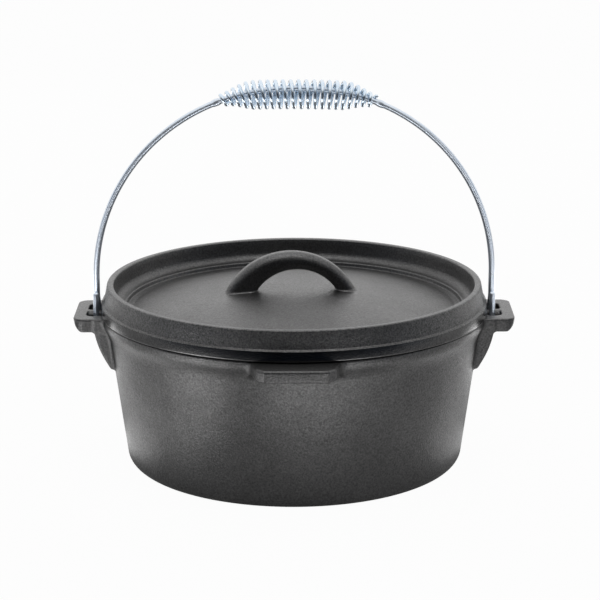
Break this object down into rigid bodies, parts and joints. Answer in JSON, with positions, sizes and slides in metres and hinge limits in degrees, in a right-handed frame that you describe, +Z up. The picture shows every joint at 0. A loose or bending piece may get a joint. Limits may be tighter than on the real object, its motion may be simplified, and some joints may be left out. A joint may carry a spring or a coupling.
{
  "type": "camp dutch oven",
  "caption": "Round cast-iron camp dutch oven with a flat base, a flanged lid with an arched handle, side ears, a front tab and a wire bail with a coil grip.",
  "frame": {"origin": "centre of the flat underside, on the axis of the pot", "axes": "+Z up along the axis of the pot, +X through one ear, -Y through the front tab"},
  "size_m": [0.3528, 0.3302, 0.3091],
  "materials": {
    "cast_iron": "pre-seasoned fine sand-cast grain, satin",
    "zinc_wire": "bright zinc-plated steel wire with a faint blue tint"
  },
  "bodies": {
    "pot": {"pot": "cast_iron"},
    "lid": {"lid": "cast_iron"},
    "bail": {"bail_wire": "zinc_wire", "coil_grip": "zinc_wire"}
  },
  "joints": [
    {"name": "lid_lift", "type": "slide", "parent": "pot", "child": "lid", "axis": [0, 0, 1], "range_m": [0, 0.03]},
    {"name": "bail_swing", "type": "hinge", "parent": "pot", "child": "bail", "pos_m": [0, 0, 0.1173], "axis": [1, 0, 0], "range_deg": [-64, 52]}
  ]
}
